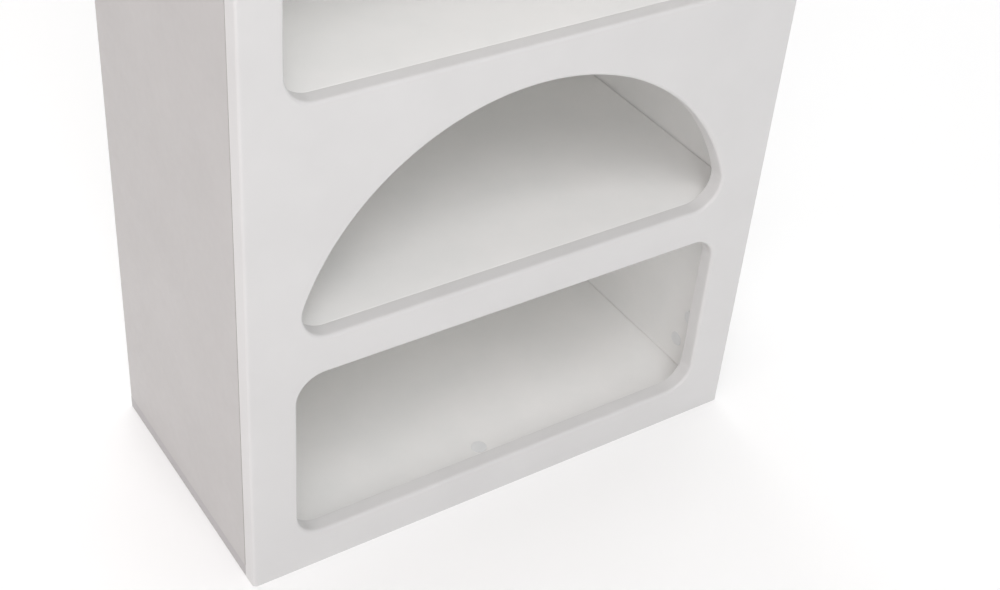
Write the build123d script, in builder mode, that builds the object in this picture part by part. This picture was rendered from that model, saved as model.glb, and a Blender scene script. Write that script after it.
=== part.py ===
from build123d import *
import os

# Tall flat-pack bookcase: a routed front frame on a board carcass, held by cam fittings.
# Millimetres. The origin is at the centre of the footprint, on the floor. +X is to the
# right, -Y is the front and +Z is up.

# Overall size
width = 600.0
depth = 310.0
tier_count = 5

# Board thicknesses
frame_thick = 18.0
board = 15.0
back_thick = 3.0

# Front frame: heights of its rails and openings, from the floor up
end_rail = 44.0
opening_height = 209.0
mid_rail = 43.0
tier_pitch = opening_height + mid_rail
height = 2 * end_rail + tier_count * tier_pitch - mid_rail

# Front frame: shapes of its openings
low_opening_width = 499.0
high_opening_width = 516.0
corner_radius = 30.0
arch_radius = 256.0
arch_rise = 210.0
arris_radius = 3.5
board_arris = 0.5

# Carcass clearances
shelf_end_gap = 0.8
shelf_rear_gap = 1.5

# Back panels and the groove that holds them
groove_inset = 7.0
groove_depth = 6.0
groove_clearance = 0.2
back_edge_play = 1.0
strip_height = 14.0
strip_wall = 1.0
joint_shelf = 2

# Cam fittings, 34 mm system
cam_reach = 34.0
cam_radius = 7.4
cam_bore_radius = 7.5
cam_height = 12.0
cam_bore_depth = 12.5
cam_slot_width = 6.0
cam_pocket_radius = 4.2
cross_length = 8.0
cross_width = 1.4
cross_depth = 2.0
bolt_thread_radius = 3.3
bolt_thread_length = 11.0
bolt_collar_radius = 3.8
bolt_collar_height = 1.2
bolt_shank_radius = 2.6
bolt_neck_radius = 1.8
bolt_neck_length = 4.0
bolt_head_radius = 3.2
shank_bore_radius = 4.0
cap_radius = 8.75
cap_thick = 1.3
cap_round = 0.8

# Dowels
dowel_radius = 4.0
dowel_in_edge = 17.5
dowel_in_face = 11.5
dowel_end_play = 0.5
dowel_chamfer = 0.8

# Spacing of the fittings
corner_cam_inset = 50.0
front_cam_height = 47.0
row_spacing = 32.0
front_dowel_x = 192.0

# Faces that the parts share
half_width = width / 2
front = -depth / 2
rear = depth / 2
carcass_front = front + frame_thick
inner_x = half_width - board
side_mid_x = half_width - board / 2
back_face = rear - groove_inset - back_thick
shelf_rear = back_face - shelf_rear_gap
shelf_half_length = inner_x - shelf_end_gap
sills = [end_rail + tier * tier_pitch for tier in range(tier_count)]
shelf_tops = sills[1:]
is_arched = [tier % 2 == 1 for tier in range(tier_count)]

# Rows of fittings
corner_cam_ys = [carcass_front + corner_cam_inset, rear - corner_cam_inset]
corner_dowel_ys = [corner_cam_ys[0] + row_spacing, corner_cam_ys[1] - row_spacing]
front_cam_y = carcass_front + cam_reach
front_cam_zs = [sill + front_cam_height for sill in sills]
front_cam_zs.append(height - end_rail - front_cam_height)
front_dowel_zs = [z + row_spacing for z in front_cam_zs[:-1]]
front_dowel_zs.append(front_cam_zs[-1] - row_spacing)
corner_cam_zs = [board + cam_reach, height - board - cam_reach]
shelf_cam_x = inner_x - cam_reach
shelf_mid_zs = [top - board / 2 for top in shelf_tops]
cross_board_mid_zs = [board / 2] + shelf_mid_zs + [height - board / 2]


def facing(x, y, z, out, towards=None):
    """Location at a point, with its local +Z along out and its local +X along towards."""
    if towards is None:
        return Plane(origin=(x, y, z), z_dir=out).location
    return Plane(origin=(x, y, z), x_dir=towards, z_dir=out).location


def bore(radius, length, places):
    """Cut a round hole into the part from each place, against its outward +Z."""
    with Locations(*places):
        Cylinder(radius, length, align=(Align.CENTER, Align.CENTER, Align.MAX), mode=Mode.SUBTRACT)


def finish(piece, name):
    """Label a piece and write its file."""
    piece.part.label = name
    export_step(piece.part, f"parts/{name}.step")


def group(item, places, name):
    """Copies of one fitting, as separate solids of one node."""
    with BuildPart() as pieces:
        with Locations(*places):
            add(item.part)
    finish(pieces, name)


os.makedirs("parts", exist_ok=True)

right = (1, 0, 0)
left = (-1, 0, 0)
forward = (0, -1, 0)
backward = (0, 1, 0)
up = (0, 0, 1)
down = (0, 0, -1)

# Where each cam sits: its face looks out of the board, its slot looks at the bolt.
side_cam_places = {}
for side, out in ((-1, right), (1, left)):
    corner_cams = []
    for y in corner_cam_ys:
        corner_cams.append(facing(side * inner_x, y, corner_cam_zs[0], out, down))
        corner_cams.append(facing(side * inner_x, y, corner_cam_zs[1], out, up))
    front_cams = [facing(side * inner_x, front_cam_y, z, out, forward) for z in front_cam_zs]
    side_cam_places[side] = corner_cams + front_cams
bottom_cam_places = [facing(0, front_cam_y, board, up, forward)]
top_cam_places = [facing(0, front_cam_y, height - board, down, forward)]
shelf_cam_places = []
for top in shelf_tops:
    cams = [facing(0, front_cam_y, top - board, down, forward)]
    for y in corner_cam_ys:
        cams.append(facing(-shelf_cam_x, y, top - board, down, left))
        cams.append(facing(shelf_cam_x, y, top - board, down, right))
    shelf_cam_places.append(cams)

# Where each bolt and dowel leaves the face of the board that holds it.
frame_bolt_places = [facing(0, carcass_front, z, backward) for z in cross_board_mid_zs]
frame_dowel_places = []
for x in (-front_dowel_x, front_dowel_x):
    frame_dowel_places += [facing(x, carcass_front, z, backward) for z in cross_board_mid_zs]
for x in (-side_mid_x, side_mid_x):
    frame_bolt_places += [facing(x, carcass_front, z, backward) for z in front_cam_zs]
    frame_dowel_places += [facing(x, carcass_front, z, backward) for z in front_dowel_zs]
bottom_bolt_places = [facing(x, y, board, up) for x in (-side_mid_x, side_mid_x) for y in corner_cam_ys]
bottom_dowel_places = [facing(x, y, board, up) for x in (-side_mid_x, side_mid_x) for y in corner_dowel_ys]
top_z = height - board
top_bolt_places = [facing(x, y, top_z, down) for x in (-side_mid_x, side_mid_x) for y in corner_cam_ys]
top_dowel_places = [facing(x, y, top_z, down) for x in (-side_mid_x, side_mid_x) for y in corner_dowel_ys]
side_bolt_places = {}
side_dowel_places = {}
for side, out in ((-1, right), (1, left)):
    side_bolt_places[side] = [
        facing(side * inner_x, y, z, out) for z in shelf_mid_zs for y in corner_cam_ys
    ]
    side_dowel_places[side] = [
        facing(side * inner_x, y, z, out) for z in shelf_mid_zs for y in corner_dowel_ys
    ]

# Front frame: one routed board over the front edges of the whole carcass
with BuildPart() as front_frame:
    with BuildSketch(Plane.XZ.offset(depth / 2)):
        with Locations((0, height / 2)):
            Rectangle(width, height)
    extrude(amount=-frame_thick)
    long_edges = front_frame.edges().filter_by(Axis.Z).group_by(Axis.Y)[0]
    top_edge = front_frame.edges().filter_by(Axis.X).group_by(Axis.Y)[0].sort_by(Axis.Z)[-1]
    fillet(long_edges + [top_edge], arris_radius)
    for tier, sill in enumerate(sills):
        with BuildSketch(Plane.XZ.offset(depth / 2)) as opening:
            if is_arched[tier]:
                with Locations((0, sill + arch_rise - arch_radius)):
                    Circle(arch_radius)
                with Locations((0, sill)):
                    Rectangle(width, height, align=(Align.CENTER, Align.MAX), mode=Mode.SUBTRACT)
                fillet(opening.vertices(), corner_radius)
            else:
                opening_width = low_opening_width if tier == 0 else high_opening_width
                with Locations((0, sill)):
                    Rectangle(opening_width, opening_height, align=(Align.CENTER, Align.MIN))
                fillet(opening.vertices(), corner_radius)
        extrude(amount=-frame_thick, mode=Mode.SUBTRACT)
    mouth = front_frame.faces().sort_by(Axis.Y)[0].inner_wires()
    fillet([edge for wire in mouth for edge in wire.edges()], arris_radius)
    bore(bolt_thread_radius, bolt_thread_length, frame_bolt_places)
    bore(dowel_radius, dowel_in_face + dowel_end_play, frame_dowel_places)
finish(front_frame, "front_frame")

# Side panels: they stand on the bottom panel and carry the top panel
side_height = height - 2 * board
for side, out, name in ((-1, right, "left_side_panel"), (1, left, "right_side_panel")):
    with BuildPart() as side_panel:
        with Locations((side * side_mid_x, (carcass_front + rear) / 2, height / 2)):
            Box(board, rear - carcass_front, side_height)
        chamfer(side_panel.edges().filter_by(Axis.Z), board_arris)
        with Locations((side * inner_x, back_face, height / 2)):
            Box(
                2 * groove_depth,
                back_thick + groove_clearance,
                side_height,
                align=(Align.CENTER, Align.MIN, Align.CENTER),
                mode=Mode.SUBTRACT,
            )
        bore(cam_bore_radius, cam_bore_depth, side_cam_places[side])
        mid = side * side_mid_x
        bore(shank_bore_radius, cam_reach, [facing(mid, y, board, down) for y in corner_cam_ys])
        bore(shank_bore_radius, cam_reach, [facing(mid, y, top_z, up) for y in corner_cam_ys])
        bore(shank_bore_radius, cam_reach, [facing(mid, carcass_front, z, forward) for z in front_cam_zs])
        edge_depth = dowel_in_edge + dowel_end_play
        bore(dowel_radius, edge_depth, [facing(mid, y, board, down) for y in corner_dowel_ys])
        bore(dowel_radius, edge_depth, [facing(mid, y, top_z, up) for y in corner_dowel_ys])
        bore(dowel_radius, edge_depth, [facing(mid, carcass_front, z, forward) for z in front_dowel_zs])
        bore(bolt_thread_radius, bolt_thread_length, side_bolt_places[side])
        bore(dowel_radius, dowel_in_face + dowel_end_play, side_dowel_places[side])
    finish(side_panel, name)

# Bottom and top panels: full width, so that their ends show at the sides
for name, base, face_z, out, cams, bolts, dowels in (
    ("bottom_panel", 0, board, up, bottom_cam_places, bottom_bolt_places, bottom_dowel_places),
    ("top_panel", top_z, top_z, down, top_cam_places, top_bolt_places, top_dowel_places),
):
    mid_z = base + board / 2
    with BuildPart() as cross_panel:
        with Locations((0, (carcass_front + rear) / 2, mid_z)):
            Box(width, rear - carcass_front, board)
        chamfer(cross_panel.edges().filter_by(Axis.Y), board_arris)
        with Locations((0, back_face, face_z)):
            Box(
                width - 2 * (board - groove_depth),
                back_thick + groove_clearance,
                2 * groove_depth,
                align=(Align.CENTER, Align.MIN, Align.CENTER),
                mode=Mode.SUBTRACT,
            )
        bore(cam_bore_radius, cam_bore_depth, cams)
        bore(shank_bore_radius, cam_reach, [facing(0, carcass_front, mid_z, forward)])
        bore(
            dowel_radius,
            dowel_in_edge + dowel_end_play,
            [facing(x, carcass_front, mid_z, forward) for x in (-front_dowel_x, front_dowel_x)],
        )
        bore(bolt_thread_radius, bolt_thread_length, bolts)
        bore(dowel_radius, dowel_in_face + dowel_end_play, dowels)
    finish(cross_panel, name)

# Shelves: flush with the sill of the opening above them
for number, (top, mid_z, cams) in enumerate(zip(shelf_tops, shelf_mid_zs, shelf_cam_places), start=1):
    end_reach = cam_reach - shelf_end_gap
    edge_depth = dowel_in_edge + dowel_end_play
    with BuildPart() as shelf:
        with Locations((0, (carcass_front + shelf_rear) / 2, mid_z)):
            Box(2 * shelf_half_length, shelf_rear - carcass_front, board)
        chamfer(shelf.edges().filter_by(Axis.Y), board_arris)
        bore(cam_bore_radius, cam_bore_depth, cams)
        bore(shank_bore_radius, cam_reach, [facing(0, carcass_front, mid_z, forward)])
        for x, out in ((-shelf_half_length, left), (shelf_half_length, right)):
            bore(shank_bore_radius, end_reach, [facing(x, y, mid_z, out) for y in corner_cam_ys])
            bore(dowel_radius, edge_depth, [facing(x, y, mid_z, out) for y in corner_dowel_ys])
        bore(
            dowel_radius,
            edge_depth,
            [facing(x, carcass_front, mid_z, forward) for x in (-front_dowel_x, front_dowel_x)],
        )
    finish(shelf, f"shelf_{number}")

# Back: two thin panels in the grooves, joined behind a shelf by an H strip
joint_z = shelf_mid_zs[joint_shelf - 1]
panel_half_width = inner_x + groove_depth - back_edge_play
panel_low = board - groove_depth + back_edge_play
panel_high = height - panel_low
for name, low, high in (
    ("back_panel_lower", panel_low, joint_z - strip_wall / 2),
    ("back_panel_upper", joint_z + strip_wall / 2, panel_high),
):
    with BuildPart() as back_panel:
        with Locations((0, back_face, low)):
            Box(
                2 * panel_half_width,
                back_thick,
                high - low,
                align=(Align.CENTER, Align.MIN, Align.MIN),
            )
    finish(back_panel, name)

with BuildPart() as joining_strip:
    with BuildSketch(Plane.YZ.offset(-shelf_half_length)):
        with Locations((back_face + back_thick / 2, joint_z)):
            Rectangle(back_thick, strip_wall)
        for y in (back_face - strip_wall / 2, back_face + back_thick + strip_wall / 2):
            with Locations((y, joint_z)):
                Rectangle(strip_wall, strip_height)
    extrude(amount=2 * shelf_half_length)
finish(joining_strip, "back_joining_strip")

# Cam: a slotted drum with a pocket for the bolt's head and a cross recess for the driver
with BuildPart() as cam:
    Cylinder(cam_radius, cam_height, align=(Align.CENTER, Align.CENTER, Align.MAX))
    with Locations((0, 0, -board / 2)):
        Box(
            2 * cam_radius,
            cam_slot_width,
            cam_slot_width,
            align=(Align.MIN, Align.CENTER, Align.CENTER),
            mode=Mode.SUBTRACT,
        )
        Cylinder(cam_pocket_radius, 2 * cam_pocket_radius, mode=Mode.SUBTRACT)
    for turn in (0, 90):
        with Locations(Location((0, 0, 0), (0, 0, turn))):
            Box(
                cross_length,
                cross_width,
                cross_depth,
                align=(Align.CENTER, Align.CENTER, Align.MAX),
                mode=Mode.SUBTRACT,
            )

# Cam bolt: thread below the face, shank and ball head above it
neck_low = cam_reach - bolt_head_radius - bolt_neck_length
with BuildPart() as cam_bolt:
    Cylinder(bolt_thread_radius, bolt_thread_length, align=(Align.CENTER, Align.CENTER, Align.MAX))
    Cylinder(bolt_collar_radius, bolt_collar_height, align=(Align.CENTER, Align.CENTER, Align.MIN))
    Cylinder(bolt_shank_radius, neck_low, align=(Align.CENTER, Align.CENTER, Align.MIN))
    with Locations((0, 0, neck_low)):
        Cylinder(bolt_neck_radius, cam_reach - neck_low, align=(Align.CENTER, Align.CENTER, Align.MIN))
    with Locations((0, 0, cam_reach)):
        Sphere(bolt_head_radius)

# Dowel: a fluted pin's plain envelope, half in a face and half in an edge
with BuildPart() as dowel:
    with Locations((0, 0, -dowel_in_face)):
        Cylinder(
            dowel_radius,
            dowel_in_face + dowel_in_edge,
            align=(Align.CENTER, Align.CENTER, Align.MIN),
        )
    chamfer(dowel.edges().filter_by(GeomType.CIRCLE), dowel_chamfer)

# Cover cap: a thin round disc over a cam's bore
with BuildPart() as cap:
    Cylinder(cap_radius, cap_thick, align=(Align.CENTER, Align.CENTER, Align.MIN))
    fillet(cap.edges().filter_by(GeomType.CIRCLE).sort_by(Axis.Z)[-1], cap_round)

for side, name in ((-1, "left_side"), (1, "right_side")):
    group(cam, side_cam_places[side], f"{name}_cams")
    group(cap, side_cam_places[side], f"{name}_cover_caps")
    group(cam_bolt, side_bolt_places[side], f"{name}_cam_bolts")
    group(dowel, side_dowel_places[side], f"{name}_dowels")
group(cam, bottom_cam_places, "bottom_panel_cam")
group(cap, bottom_cam_places, "bottom_panel_cover_cap")
group(cam_bolt, bottom_bolt_places, "bottom_panel_cam_bolts")
group(dowel, bottom_dowel_places, "bottom_panel_dowels")
group(cam, top_cam_places, "top_panel_cam")
group(cap, top_cam_places, "top_panel_cover_cap")
group(cam_bolt, top_bolt_places, "top_panel_cam_bolts")
group(dowel, top_dowel_places, "top_panel_dowels")
for number, places in enumerate(shelf_cam_places, start=1):
    group(cam, places, f"shelf_{number}_cams")
    group(cap, places, f"shelf_{number}_cover_caps")
group(cam_bolt, frame_bolt_places, "front_frame_cam_bolts")
group(dowel, frame_dowel_places, "front_frame_dowels")
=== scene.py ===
import bpy
import bmesh
import math
from mathutils import Matrix, Vector


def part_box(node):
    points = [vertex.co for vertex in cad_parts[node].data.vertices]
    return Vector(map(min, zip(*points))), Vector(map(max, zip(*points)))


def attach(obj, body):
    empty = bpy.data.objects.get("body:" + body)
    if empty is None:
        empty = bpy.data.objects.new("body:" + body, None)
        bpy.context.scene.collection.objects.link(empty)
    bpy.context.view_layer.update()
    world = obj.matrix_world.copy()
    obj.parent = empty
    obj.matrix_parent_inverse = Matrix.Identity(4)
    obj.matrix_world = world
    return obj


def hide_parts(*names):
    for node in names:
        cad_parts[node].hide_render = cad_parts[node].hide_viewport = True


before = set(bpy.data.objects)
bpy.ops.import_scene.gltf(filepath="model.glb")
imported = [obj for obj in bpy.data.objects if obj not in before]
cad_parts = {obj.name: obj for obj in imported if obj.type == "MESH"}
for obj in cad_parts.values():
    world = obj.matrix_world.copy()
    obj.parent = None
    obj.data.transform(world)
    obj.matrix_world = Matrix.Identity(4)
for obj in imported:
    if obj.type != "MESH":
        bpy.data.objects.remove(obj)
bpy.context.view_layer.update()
print("frame loaded:", len(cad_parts), "nodes")

mm = 0.001
touching = 0.01 * mm           # places closer than this are the same place

view = {
    "place": (-0.7557, -1.1530, 1.2308),
    "azimuth": 36.10,      # degrees to the right of straight on
    "elevation": 37.732,   # degrees down
    "roll": 5.197,
    "lens": 57.404,        # on a 36 mm wide sensor
}


def deselectAll():
    if bpy.context.object and bpy.context.object.mode != "OBJECT":
        bpy.ops.object.mode_set(mode="OBJECT")
    bpy.ops.object.select_all(action="DESELECT")


def makeActive(piece):
    deselectAll()
    piece.select_set(True)
    bpy.context.view_layer.objects.active = piece


def applyPlace(piece):
    makeActive(piece)
    bpy.ops.object.transform_apply(location=True, rotation=True, scale=True)


def joinAll(pieces):
    makeActive(pieces[0])
    for piece in pieces:
        piece.select_set(True)
    if len(pieces) > 1:
        bpy.ops.object.join()
    return bpy.context.object


def addBox(name, low, high):
    # a box between two corners, with its place in its mesh
    low, high = Vector(low), Vector(high)
    deselectAll()
    bpy.ops.mesh.primitive_cube_add(size=1, location=(low + high) / 2)
    box = bpy.context.object
    box.name = name
    box.scale = high - low
    applyPlace(box)
    return box


def addRod(name, centre, axis, radius, length, corners):
    # a round bar along X, Y or Z (axis 0, 1 or 2)
    turn = ((0, math.pi / 2, 0), (math.pi / 2, 0, 0), (0, 0, 0))[axis]
    deselectAll()
    bpy.ops.mesh.primitive_cylinder_add(
        vertices=corners, radius=radius, depth=length, location=centre, rotation=turn)
    rod = bpy.context.object
    rod.name = name
    applyPlace(rod)
    return rod


def selectEdges(piece, wanted):
    # goes into edit mode with the edges that wanted(edge) picks selected
    makeActive(piece)
    bpy.ops.object.mode_set(mode="EDIT")
    bpy.ops.mesh.select_mode(type="EDGE")
    bpy.ops.mesh.select_all(action="DESELECT")
    mesh = bmesh.from_edit_mesh(piece.data)
    for edge in mesh.edges:
        edge.select = wanted(edge)
    bmesh.update_edit_mesh(piece.data)


def bevelEdges(piece, wanted, width, steps):
    selectEdges(piece, wanted)
    bpy.ops.mesh.bevel(offset=width, segments=steps, affect="EDGES", clamp_overlap=False)
    bpy.ops.object.mode_set(mode="OBJECT")


def moveEdges(piece, wanted, shift):
    selectEdges(piece, wanted)
    bpy.ops.transform.translate(value=shift)
    bpy.ops.object.mode_set(mode="OBJECT")


def runsAlong(edge, axis):
    span = edge.verts[0].co - edge.verts[1].co
    return abs(span[axis]) > 0.999 * span.length    # a slightly tilted edge still counts


def liesAt(edge, axis, place):
    # both ends of the edge are at this place along the axis
    return all(abs(v.co[axis] - place) < touching for v in edge.verts)


def cutAway(piece, cutters):
    tool = joinAll(cutters)
    makeActive(piece)
    cut = piece.modifiers.new("cut", "BOOLEAN")
    cut.operation = "DIFFERENCE"
    cut.solver = "EXACT"
    cut.use_self = True
    cut.object = tool
    bpy.ops.object.modifier_apply(modifier=cut.name)
    bpy.data.objects.remove(tool)


def smoothFaces(piece, angle=35):
    makeActive(piece)
    bpy.ops.object.shade_smooth_by_angle(angle=math.radians(angle))
    even = piece.modifiers.new("evenNormals", "WEIGHTED_NORMAL")
    even.keep_sharp = True
    even.weight = 100
    bpy.ops.object.modifier_apply(modifier=even.name)


def islandBoxes(node):
    # lowest and highest corner of each separate solid of a CAD node
    home = {}

    def root(key):
        while home[key] != key:
            home[key] = home[home[key]]
            key = home[key]
        return key

    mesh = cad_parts[node].data
    keys = [tuple(round(c, 6) for c in v.co) for v in mesh.vertices]
    for key in keys:
        home.setdefault(key, key)
    for edge in mesh.edges:
        a, b = (root(keys[i]) for i in edge.vertices)
        home[a] = b
    solids = {}
    for key in home:
        low, high = solids.setdefault(root(key), (Vector(key), Vector(key)))
        for i in range(3):
            low[i] = min(low[i], key[i])
            high[i] = max(high[i], key[i])
    return list(solids.values())


def makeCamera():
    deselectAll()
    turn = (
        Matrix.Rotation(-math.radians(view["azimuth"]), 3, "Z")
        @ Matrix.Rotation(math.radians(90 - view["elevation"]), 3, "X")
        @ Matrix.Rotation(math.radians(view["roll"]), 3, "Z")
    )
    bpy.ops.object.camera_add(location=view["place"], rotation=turn.to_euler())
    camera = bpy.context.object
    camera.data.sensor_width = 36
    camera.data.lens = view["lens"]
    camera.data.clip_start = 0.05
    camera.data.clip_end = 100
    bpy.context.scene.camera = camera


makeCamera()
print("camera placed")


def linear(hexColour):
    # sRGB hex to the linear colour that a shader takes
    parts = [int(hexColour[i:i + 2], 16) / 255 for i in (1, 3, 5)]
    curve = [c / 12.92 if c <= 0.04045 else ((c + 0.055) / 1.055) ** 2.4 for c in parts]
    return (*curve, 1)


def addNode(material, kind, inputs, **settings):
    # adds a node; an input takes a value or another node's output
    node = material.node_tree.nodes.new(kind)
    for name, value in settings.items():
        setattr(node, name, value)
    for name, value in inputs.items():
        if isinstance(value, bpy.types.NodeSocket):
            material.node_tree.links.new(value, node.inputs[name])
        else:
            node.inputs[name].default_value = value
    return node


def perMetre(sizeMm):
    # a texture's scale for features of this size
    return 1 / (sizeMm * mm)


def newFinish(name, roughness, metallic=0.0, ior=1.5):
    material = bpy.data.materials.new(name)
    material.use_nodes = True
    shader = material.node_tree.nodes["Principled BSDF"]
    shader.inputs["Metallic"].default_value = metallic
    shader.inputs["Roughness"].default_value = roughness
    shader.inputs["IOR"].default_value = ior
    return material, shader


def surfacePattern(material, shader, look):
    # slow drift of tone, small drift of gloss and a fine relief, all from the piece's own coordinates
    place = addNode(material, "ShaderNodeTexCoord", {}).outputs["Object"]
    stretched = addNode(material, "ShaderNodeMapping", {"Vector": place, "Scale": look["stretch"]})
    along = stretched.outputs["Vector"]
    drift = addNode(material, "ShaderNodeTexNoise", {
        "Vector": along, "Scale": perMetre(look["driftMm"]), "Detail": 3.0, "Roughness": 0.55})
    tones = addNode(material, "ShaderNodeValToRGB", {"Fac": drift.outputs["Fac"]})
    tones.color_ramp.elements[0].position = 0.3
    tones.color_ramp.elements[1].position = 0.7
    tones.color_ramp.elements[0].color = linear(look["dark"])
    tones.color_ramp.elements[1].color = linear(look["light"])
    gloss = addNode(material, "ShaderNodeTexNoise", {
        "Vector": along, "Scale": perMetre(look["glossMm"]), "Detail": 4.0, "Roughness": 0.6})
    roughness = addNode(material, "ShaderNodeMapRange", {
        "Value": gloss.outputs["Fac"],
        "From Min": 0.3, "From Max": 0.7,
        "To Min": look["roughness"][0], "To Max": look["roughness"][1]})
    grain = addNode(material, "ShaderNodeTexNoise", {
        "Vector": along, "Scale": perMetre(look["reliefMm"]), "Detail": 2.0, "Roughness": 0.5})
    relief = addNode(material, "ShaderNodeBump", {
        "Height": grain.outputs["Fac"], "Strength": look["reliefStrength"], "Distance": look["reliefDepth"]})
    links = material.node_tree.links
    links.new(tones.outputs["Color"], shader.inputs["Base Color"])
    links.new(roughness.outputs["Result"], shader.inputs["Roughness"])
    links.new(relief.outputs["Normal"], shader.inputs["Normal"])


# Satin vinyl foil pressed over routed MDF: an even white with a faint orange peel,
# which breaks the long highlights on the rounded arrises
wrapLook = {
    "dark": "#D1D0D0", "light": "#D5D4D4",
    "stretch": (1, 1, 1),
    "driftMm": 90, "glossMm": 14, "roughness": (0.28, 0.34),
    "reliefMm": 2.2,           # the real peel is about 1 mm, drawn coarser so that it shows
    "reliefStrength": 0.25, "reliefDepth": 0.02 * mm,
}

# White melamine paper pressed on particleboard with a pearl plate: a matt sheen with a
# fine stipple, a shade lighter than the foil
melamineLook = {
    "dark": "#ECECEB", "light": "#F1F0EF",
    "stretch": (1, 1, 1),
    "driftMm": 70, "glossMm": 9, "roughness": (0.42, 0.52),
    "reliefMm": 1.8,           # the real pearl is about 0.5 mm, drawn coarser so that it shows
    "reliefStrength": 0.35, "reliefDepth": 0.03 * mm,
}

# The same board's outer paper, with painted shade: darker and rosier than the inner one, standing in for the
# shade and the warm light that fall on the outer sides
shadedOuterLook = {
    "dark": "#B9B6B5", "light": "#BDBAB9",
    "stretch": (1, 1, 1),
    "driftMm": 80, "glossMm": 9, "roughness": (0.42, 0.52),
    "reliefMm": 1.8,
    "reliefStrength": 0.35, "reliefDepth": 0.03 * mm,
}

# Particleboard's bare edge, hidden once the boards are together but for the seam behind the front board:
# coarse grey-brown chips, drawn darker than bare board as painted shade in that seam
chipAndSeamShadeLook = {
    "dark": "#6A6058", "light": "#948A7F",
    "stretch": (1, 1, 0.4),
    "driftMm": 3, "glossMm": 2, "roughness": (0.75, 0.9),
    "reliefMm": 1.0,
    "reliefStrength": 0.6, "reliefDepth": 0.15 * mm,
}

# Ironed-on edging on the ends of the bottom and top panel: a thin printed paper,
# greyer than the faces: partly its own tone, partly painted shade like that on the side panels' outer paper
edgingAndShadeLook = {
    "dark": "#AFACAD", "light": "#B3B0B1",
    "stretch": (1, 1, 1),
    "driftMm": 25, "glossMm": 6, "roughness": (0.48, 0.58),
    "reliefMm": 1.2,
    "reliefStrength": 0.3, "reliefDepth": 0.03 * mm,
}

# Thin hardboard with a rolled white paint: flatter than melamine, with the roller's stipple
paintLook = {
    "dark": "#E4E4E1", "light": "#E8E8E5",
    "stretch": (1, 1, 1),
    "driftMm": 60, "glossMm": 12, "roughness": (0.55, 0.68),
    "reliefMm": 2.5,
    "reliefStrength": 0.4, "reliefDepth": 0.05 * mm,
}

# Extruded white PVC: smooth along its length, with faint die lines
stripLook = {
    "dark": "#E6E7E8", "light": "#EAEBEC",
    "stretch": (0.02, 1, 1),
    "driftMm": 8, "glossMm": 3, "roughness": (0.28, 0.36),
    "reliefMm": 1.0,
    "reliefStrength": 0.2, "reliefDepth": 0.02 * mm,
}

# Moulded matt plastic: cool pale grey with a spark-eroded texture
capLook = {
    "dark": "#E3E4E5", "light": "#E8E9EA",
    "stretch": (1, 1, 1),
    "driftMm": 12, "glossMm": 3, "roughness": (0.5, 0.6),
    "reliefMm": 0.8,
    "reliefStrength": 0.3, "reliefDepth": 0.02 * mm,
}

# Die-cast zinc: dull blue-grey metal with a grainy skin
zincLook = {
    "dark": "#A3A5A8", "light": "#B8BABD",
    "stretch": (1, 1, 1),
    "driftMm": 6, "glossMm": 2, "roughness": (0.42, 0.6),
    "reliefMm": 0.7,
    "reliefStrength": 0.4, "reliefDepth": 0.04 * mm,
}

# Turned steel with bright zinc plating: smooth, faintly blue
platedLook = {
    "dark": "#B4B8BE", "light": "#C8CCD2",
    "stretch": (1, 1, 1),
    "driftMm": 5, "glossMm": 2, "roughness": (0.24, 0.36),
    "reliefMm": 0.5,
    "reliefStrength": 0.2, "reliefDepth": 0.02 * mm,
}

# Milled beech: short brown flecks along the grain
beechLook = {
    "dark": "#B58E63", "light": "#DDBE93",
    "stretch": (1, 1, 1),
    "driftMm": 2.5, "glossMm": 2, "roughness": (0.6, 0.75),
    "reliefMm": 0.6,
    "reliefStrength": 0.5, "reliefDepth": 0.08 * mm,
}


def makeFinish(name, look, **settings):
    material, shader = newFinish(name, look["roughness"][0], **settings)
    surfacePattern(material, shader, look)
    return material


satinVinylWrap = makeFinish("satinVinylWrap", wrapLook)
whiteMelamine = makeFinish("whiteMelamine", melamineLook)
outerMelamine = makeFinish("outerMelamine", shadedOuterLook)
bareChipboard = makeFinish("bareChipboard", chipAndSeamShadeLook)
paperEdging = makeFinish("paperEdging", edgingAndShadeLook)
rolledPaint = makeFinish("rolledPaint", paintLook)
extrudedPvc = makeFinish("extrudedPvc", stripLook, ior=1.53)
mouldedCapPlastic = makeFinish("mouldedCapPlastic", capLook, ior=1.46)
dieCastZinc = makeFinish("dieCastZinc", zincLook, metallic=1.0)
platedSteel = makeFinish("platedSteel", platedLook, metallic=1.0)
milledBeech = makeFinish("milledBeech", beechLook)
print("finishes made")


def settle(piece, node, finish):
    # the piece takes the CAD node's place, its body and its finish
    piece.data.materials.clear()
    piece.data.materials.append(finish)
    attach(piece, "root")
    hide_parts(node)


# Bores for the fittings: each follows the cam, bolt or dowel that sits in it
bores = {
    "camRadius": 7.5 * mm,
    "threadRadius": 3.3 * mm,
    "threadReach": 12 * mm,    # a bolt that is buried less than this is held by its thread
    "shankRadius": 4 * mm,
    "dowelRadius": 4 * mm,
    "play": 0.5 * mm,          # room past the end of a fitting
    "overrun": 1 * mm,         # how far a cutter stands out of its board
    "corners": 32,
}

fittings = []
for nodeName in sorted(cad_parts):
    for kind, endings in (("cam", ("_cam", "_cams")), ("bolt", ("_cam_bolts",)), ("dowel", ("_dowels",))):
        if nodeName.endswith(endings):
            fittings += [(kind, low, high) for low, high in islandBoxes(nodeName)]
print("fittings found:", len(fittings))


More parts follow.
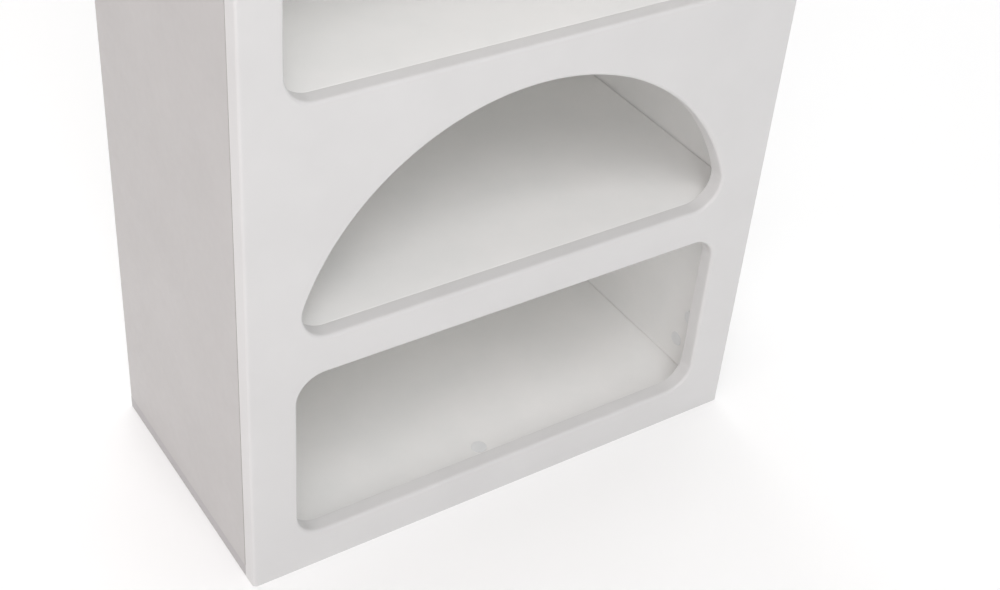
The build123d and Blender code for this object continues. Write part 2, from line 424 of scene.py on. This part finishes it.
def boreCutters(low, high):
    # one round cutter for each fitting that goes into the board between two corners
    cutters = []
    for kind, fitLow, fitHigh in fittings:
        inLow = [max(a, b) for a, b in zip(low, fitLow)]
        inHigh = [min(a, b) for a, b in zip(high, fitHigh)]
        if any(b - a < bores["play"] for a, b in zip(inLow, inHigh)):
            continue
        size = list(fitHigh - fitLow)
        axis = size.index(min(size)) if kind == "cam" else size.index(max(size))
        if kind == "bolt":
            held = inHigh[axis] - inLow[axis] < bores["threadReach"]
            radius = bores["threadRadius"] if held else bores["shankRadius"]
        else:
            radius = bores[kind + "Radius"]
        if abs(inLow[axis] - low[axis]) < touching:
            start, end = low[axis] - bores["overrun"], inHigh[axis] + bores["play"]
        else:
            start, end = inLow[axis] - bores["play"], high[axis] + bores["overrun"]
        centre = (fitLow + fitHigh) / 2
        centre[axis] = (start + end) / 2
        cutters.append(addRod("cutter", centre, axis, radius, end - start, bores["corners"]))
    return cutters


# The front board's numbers, in metres
front = {
    "endRail": 44 * mm,
    "openingHeight": 209 * mm,
    "tierPitch": 252 * mm,
    "tiers": 5,
    "lowWidth": 499 * mm,
    "highWidth": 516 * mm,
    "cornerRadius": 30 * mm,
    "cornerSteps": 20,
    "archRadius": 256 * mm,
    "archRise": 210 * mm,
    "archSides": 288,          # of the whole circle
    "archCornerSides": 128,
    "flatAngle": 0.2,          # degrees, below which two faces of the cutter become one
    "sharpAngle": 0.5,         # radians, above which an edge gets its arris
    "arrisRadius": 3.5 * mm,
    "arrisSteps": 8,
    "rearRadius": 0.5 * mm,
    "rearSteps": 2,
    "overrun": 10 * mm,        # how far a cutter stands out of the board
}


def roundedCutter(width, sill, nearY, farY):
    # the rounded rectangle that the router takes out
    cutter = addBox("cutter", (-width / 2, nearY, sill), (width / 2, farY, sill + front["openingHeight"]))
    bevelEdges(cutter, lambda edge: runsAlong(edge, 1), front["cornerRadius"], front["cornerSteps"])
    return cutter


def archCutter(sill, nearY, farY):
    # a circle cut by the sill, its two corners rounded, as the hull of three discs
    big, small = front["archRadius"], front["cornerRadius"]
    centreZ = sill + front["archRise"] - big
    rise = sill + small - centreZ
    reach = math.sqrt((big - small) ** 2 - rise ** 2)
    cutHeight = centreZ + big * rise / (big - small)
    midY, span = (nearY + farY) / 2, farY - nearY
    disc = addRod("cutter", (0, midY, centreZ), 1, big, span, front["archSides"])
    bpy.ops.object.mode_set(mode="EDIT")
    bpy.ops.mesh.select_all(action="SELECT")
    bpy.ops.mesh.bisect(plane_co=(0, 0, cutHeight), plane_no=(0, 0, 1), clear_inner=True)
    bpy.ops.object.mode_set(mode="OBJECT")
    corners = [
        addRod("corner", (side * reach, midY, sill + small), 1, small, span, front["archCornerSides"])
        for side in (-1, 1)]
    hull = joinAll([disc] + corners)
    bpy.ops.object.mode_set(mode="EDIT")
    bpy.ops.mesh.select_all(action="SELECT")
    bpy.ops.mesh.convex_hull()
    bpy.ops.mesh.select_all(action="SELECT")
    bpy.ops.mesh.dissolve_limited(angle_limit=math.radians(front["flatAngle"]))
    bpy.ops.object.mode_set(mode="OBJECT")
    return hull


def makeFrontFrame():
    low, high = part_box("front_frame")
    board = addBox("frontFrame", low, high)
    nearY, farY = low.y - front["overrun"], high.y + front["overrun"]
    cutters = []
    for tier in range(front["tiers"]):
        sill = front["endRail"] + tier * front["tierPitch"]
        if tier % 2:
            cutters.append(archCutter(sill, nearY, farY))
        else:
            width = front["highWidth"] if tier else front["lowWidth"]
            cutters.append(roundedCutter(width, sill, nearY, farY))
    cutAway(board, cutters)

    def isCorner(edge):
        return edge.calc_face_angle(0) > front["sharpAngle"]

    def frontArris(edge):
        return liesAt(edge, 1, low.y) and isCorner(edge) and not liesAt(edge, 2, low.z)

    def rearRim(edge):
        onOutside = any(liesAt(edge, axis, end[axis]) for axis in (0, 2) for end in (low, high))
        return liesAt(edge, 1, high.y) and isCorner(edge) and not onOutside

    bevelEdges(board, frontArris, front["arrisRadius"], front["arrisSteps"])
    bevelEdges(board, rearRim, front["rearRadius"], front["rearSteps"])
    cutAway(board, boreCutters(low, high))
    smoothFaces(board)
    settle(board, "front_frame", satinVinylWrap)
    return board


frontFrame = makeFrontFrame()
print("front frame:", len(frontFrame.data.polygons), "faces")

# Melamine boards: the side panels stand on the bottom panel and carry the shelves
carcass = {
    "arris": 0.5 * mm,         # scraped edge of a shelf's paper
    "arrisSteps": 3,
    "crossArris": 0.25 * mm,   # on the bottom and top panel
    "crossSteps": 2,
    "sideArris": 0.8 * mm,     # on a side panel's rear edges
    "seamArris": 0.2 * mm,     # on its edges that meet the front board
    "seamSteps": 2,
    "seamDepth": 1.6 * mm,     # how far behind the front board a face counts as its front edge
    "footGap": 0.9 * mm,       # opens under a side panel's inner edge
    "sideSeam": (0.4 * mm, 0.95 * mm),  # how far the side stands off the front board, top and foot
    "shelfRearGap": 0.9 * mm,  # extra room at the ends of a shelf, towards the back
    "groovePlay": 1 * mm,      # between a back panel's edge and the groove's floor
    "grooveRoom": 0.2 * mm,    # wider than the panel by this
}


def grooveCutter():
    # one block as large as both back panels and their play cuts every board's groove
    low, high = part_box("back_panel_lower")
    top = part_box("back_panel_upper")[1].z
    play = carcass["groovePlay"]
    return addBox(
        "cutter",
        (low.x - play, low.y, low.z - play),
        (high.x + play, high.y + carcass["grooveRoom"], top + play))


def makeSidePanel(name, node):
    low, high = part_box(node)
    board = addBox(name, low, high)

    inner, outer = (low.x, high.x) if low.x > 0 else (high.x, low.x)

    # the front edge leans back towards its foot, and the foot opens towards the inside
    for height, gap in zip((high.z, low.z), carcass["sideSeam"]):
        moveEdges(board, lambda edge: liesAt(edge, 1, low.y) and liesAt(edge, 2, height), (0, gap, 0))

    moveEdges(board, lambda edge: liesAt(edge, 0, inner) and liesAt(edge, 2, low.z),
              (0, 0, carcass["footGap"]))
    bevelEdges(board, lambda edge: runsAlong(edge, 2) and liesAt(edge, 1, high.y),
               carcass["sideArris"], carcass["arrisSteps"])
    bevelEdges(board, lambda edge: runsAlong(edge, 2) and edge.verts[0].co.y < 0,
               carcass["seamArris"], carcass["seamSteps"])
    cutAway(board, boreCutters(low, high) + [grooveCutter()])
    smoothFaces(board)
    settle(board, node, whiteMelamine)
    board.data.materials.append(outerMelamine)
    board.data.materials.append(bareChipboard)
    for face in board.data.polygons:
        # painted shade: the front-facing faces at the front edge, seen in the seam, take the darkened
        # chipboard
        if face.normal.y < -0.5 and face.center.y < low.y + carcass["seamDepth"]:
            face.material_index = 2
        # painted shade: the outer faces take the darker, rosier copy of the melamine
        elif abs(face.center.x - outer) < carcass["sideArris"]:
            face.material_index = 1


def makeCrossPanel(name, node):
    low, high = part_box(node)
    board = addBox(name, low, high)
    bevelEdges(board, lambda edge: runsAlong(edge, 1), carcass["crossArris"], carcass["crossSteps"])
    cutAway(board, boreCutters(low, high) + [grooveCutter()])
    smoothFaces(board)
    settle(board, node, whiteMelamine)
    board.data.materials.append(paperEdging)
    # the end faces take the greyer edging, which carries painted shade
    for face in board.data.polygons:
        if abs(face.center.x) > high.x - carcass["arris"]:
            face.material_index = 1


def makeShelf(name, node):
    low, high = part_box(node)
    board = addBox(name, low, high)
    for end, shift in ((low.x, carcass["shelfRearGap"]), (high.x, -carcass["shelfRearGap"])):
        moveEdges(board, lambda edge: liesAt(edge, 0, end) and liesAt(edge, 1, high.y), (shift, 0, 0))
    bevelEdges(board, lambda edge: not runsAlong(edge, 2) and not liesAt(edge, 1, high.y),
               carcass["arris"], carcass["arrisSteps"])
    cutAway(board, boreCutters(low, high))
    smoothFaces(board)
    settle(board, node, whiteMelamine)


makeSidePanel("leftSidePanel", "left_side_panel")
makeSidePanel("rightSidePanel", "right_side_panel")
makeCrossPanel("bottomPanel", "bottom_panel")
makeCrossPanel("topPanel", "top_panel")
for number in range(1, front["tiers"]):
    makeShelf(f"shelf{number}", f"shelf_{number}")
print("carcass boards made")

# Back panels and the strip that joins them
backing = {
    "arris": 0.3 * mm,
    "arrisSteps": 2,
}


def makeBackPanel(name, node):
    board = addBox(name, *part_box(node))
    bevelEdges(board, lambda edge: True, backing["arris"], backing["arrisSteps"])
    smoothFaces(board)
    settle(board, node, rolledPaint)


def makeJoiningStrip():
    strip = addBox("backJoiningStrip", *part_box("back_joining_strip"))
    bevelEdges(strip, lambda edge: runsAlong(edge, 0), backing["arris"], backing["arrisSteps"])
    cutAway(strip, [addBox("cutter", *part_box(node)) for node in ("back_panel_lower", "back_panel_upper")])
    smoothFaces(strip)
    settle(strip, "back_joining_strip", extrudedPvc)


makeBackPanel("backPanelLower", "back_panel_lower")
makeBackPanel("backPanelUpper", "back_panel_upper")
makeJoiningStrip()
print("back made")

# Cover cap: a low dome with a rounded rim, modelled once
cap = {
    "radius": 8.75 * mm,
    "rim": 0.45 * mm,
    "dome": ((0.15, 0.25), (0.45, 0.25), (1.6, 0.2), (2.8, 0.15)),  # steps inwards and up, in mm
    "corners": 48,
}


def makeCap():
    disc = addRod("capPattern", (0, 0, cap["rim"] / 2), 2, cap["radius"], cap["rim"], cap["corners"])
    bpy.ops.object.mode_set(mode="EDIT")
    bpy.ops.mesh.select_mode(type="FACE")
    bpy.ops.mesh.select_all(action="DESELECT")
    mesh = bmesh.from_edit_mesh(disc.data)
    for face in mesh.faces:
        face.select = face.normal.z > 0.9
    bmesh.update_edit_mesh(disc.data)
    for inwards, upwards in cap["dome"]:
        bpy.ops.mesh.inset(thickness=inwards * mm, depth=upwards * mm)
    bpy.ops.object.mode_set(mode="OBJECT")
    return disc


def placeCaps(capNode, pattern):
    # a copy of the cap on each cam, looking away from it
    camNode = capNode.replace("cover_cap", "cam")
    cams = [(low + high) / 2 for low, high in islandBoxes(camNode)]
    caps = []
    for low, high in islandBoxes(capNode):
        centre = (low + high) / 2
        out = centre - min(cams, key=lambda cam: (cam - centre).length)
        axis = max(range(3), key=lambda i: abs(out[i]))
        out = Vector([math.copysign(1, out[i]) if i == axis else 0 for i in range(3)])
        base = centre - out * (high[axis] - low[axis]) / 2
        copy = pattern.copy()
        copy.data = pattern.data.copy()
        bpy.context.collection.objects.link(copy)
        copy.matrix_world = Matrix.Translation(base) @ out.to_track_quat("Z", "Y").to_matrix().to_4x4()
        applyPlace(copy)
        caps.append(copy)
    caps = joinAll(caps)
    words = capNode.split("_")
    caps.name = words[0] + "".join(word.capitalize() for word in words[1:])
    smoothFaces(caps)
    settle(caps, capNode, mouldedCapPlastic)


capPattern = makeCap()
for nodeName in sorted(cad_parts):
    if "cover_cap" in nodeName:
        placeCaps(nodeName, capPattern)
bpy.data.objects.remove(capPattern)
print("cover caps placed")

# The fittings inside the boards keep their CAD shape and get their metal or wood
for nodeName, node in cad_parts.items():
    for ending, finish in (("_cam", dieCastZinc), ("_cams", dieCastZinc), ("_cam_bolts", platedSteel),
                           ("_dowels", milledBeech)):
        if nodeName.endswith(ending):
            for slot in node.material_slots:
                slot.material = finish
print("fittings finished")

# A pale floor in a ring of softboxes: degrees to the left of the front, degrees up,
# metres away, metres wide, watts and colour
studio = {
    "floorSize": 40,
    "floorColour": "#FBFBFB",
    "floorRoughness": 0.8,
    "worldLight": 0.3,
    "target": (0, 0, 0.4),
    "softboxes": (
        ("keySoftbox", 20, 52, 2.8, 1.2, 29, "#FFFFFF"),
        ("lowSoftbox", 35, 27, 3.4, 1.6, 19, "#FFFFFF"),
        ("fillSoftbox", -40, 29, 3.4, 1.6, 7, "#FFFFFF"),
        ("leftSoftbox", 75, 30, 3.4, 3.2, 34, "#FFF4F2"),
        ("rightSoftbox", -105, 35, 3.4, 3.2, 36, "#FFFFFF"),
        ("backSoftbox", 180, 45, 3.4, 3.2, 55, "#FFFFFF"),
    ),
}


def addFloor():
    deselectAll()
    bpy.ops.mesh.primitive_plane_add(size=studio["floorSize"], location=(0, 0, 0))
    floor = bpy.context.object
    floor.name = "studioFloor"
    paleFloor, shader = newFinish("paleFloor", studio["floorRoughness"])
    shader.inputs["Base Color"].default_value = linear(studio["floorColour"])
    floor.data.materials.append(paleFloor)


def addSoftbox(name, azimuth, elevation, distance, size, watts, colour):
    turn, rise = math.radians(azimuth), math.radians(elevation)
    towards = Vector((-math.sin(turn) * math.cos(rise), -math.cos(turn) * math.cos(rise), math.sin(rise)))
    deselectAll()
    bpy.ops.object.light_add(
        type="AREA",
        location=Vector(studio["target"]) + towards * distance,
        rotation=towards.to_track_quat("Z", "Y").to_euler())
    lamp = bpy.context.object
    lamp.name = name
    lamp.visible_camera = False
    lamp.data.size = size
    lamp.data.energy = watts
    lamp.data.color = linear(colour)[:3]


addFloor()
for softbox in studio["softboxes"]:
    addSoftbox(*softbox)
world = bpy.data.worlds.new("studio")
world.use_nodes = True
world.node_tree.nodes["Background"].inputs["Color"].default_value = (1, 1, 1, 1)
world.node_tree.nodes["Background"].inputs["Strength"].default_value = studio["worldLight"]
scene = bpy.context.scene
scene.world = world
scene.view_settings.view_transform = "Standard"
scene.view_settings.gamma = 1.1
scene.cycles.diffuse_bounces = 12      # white boards light each other many times
print("studio lit")
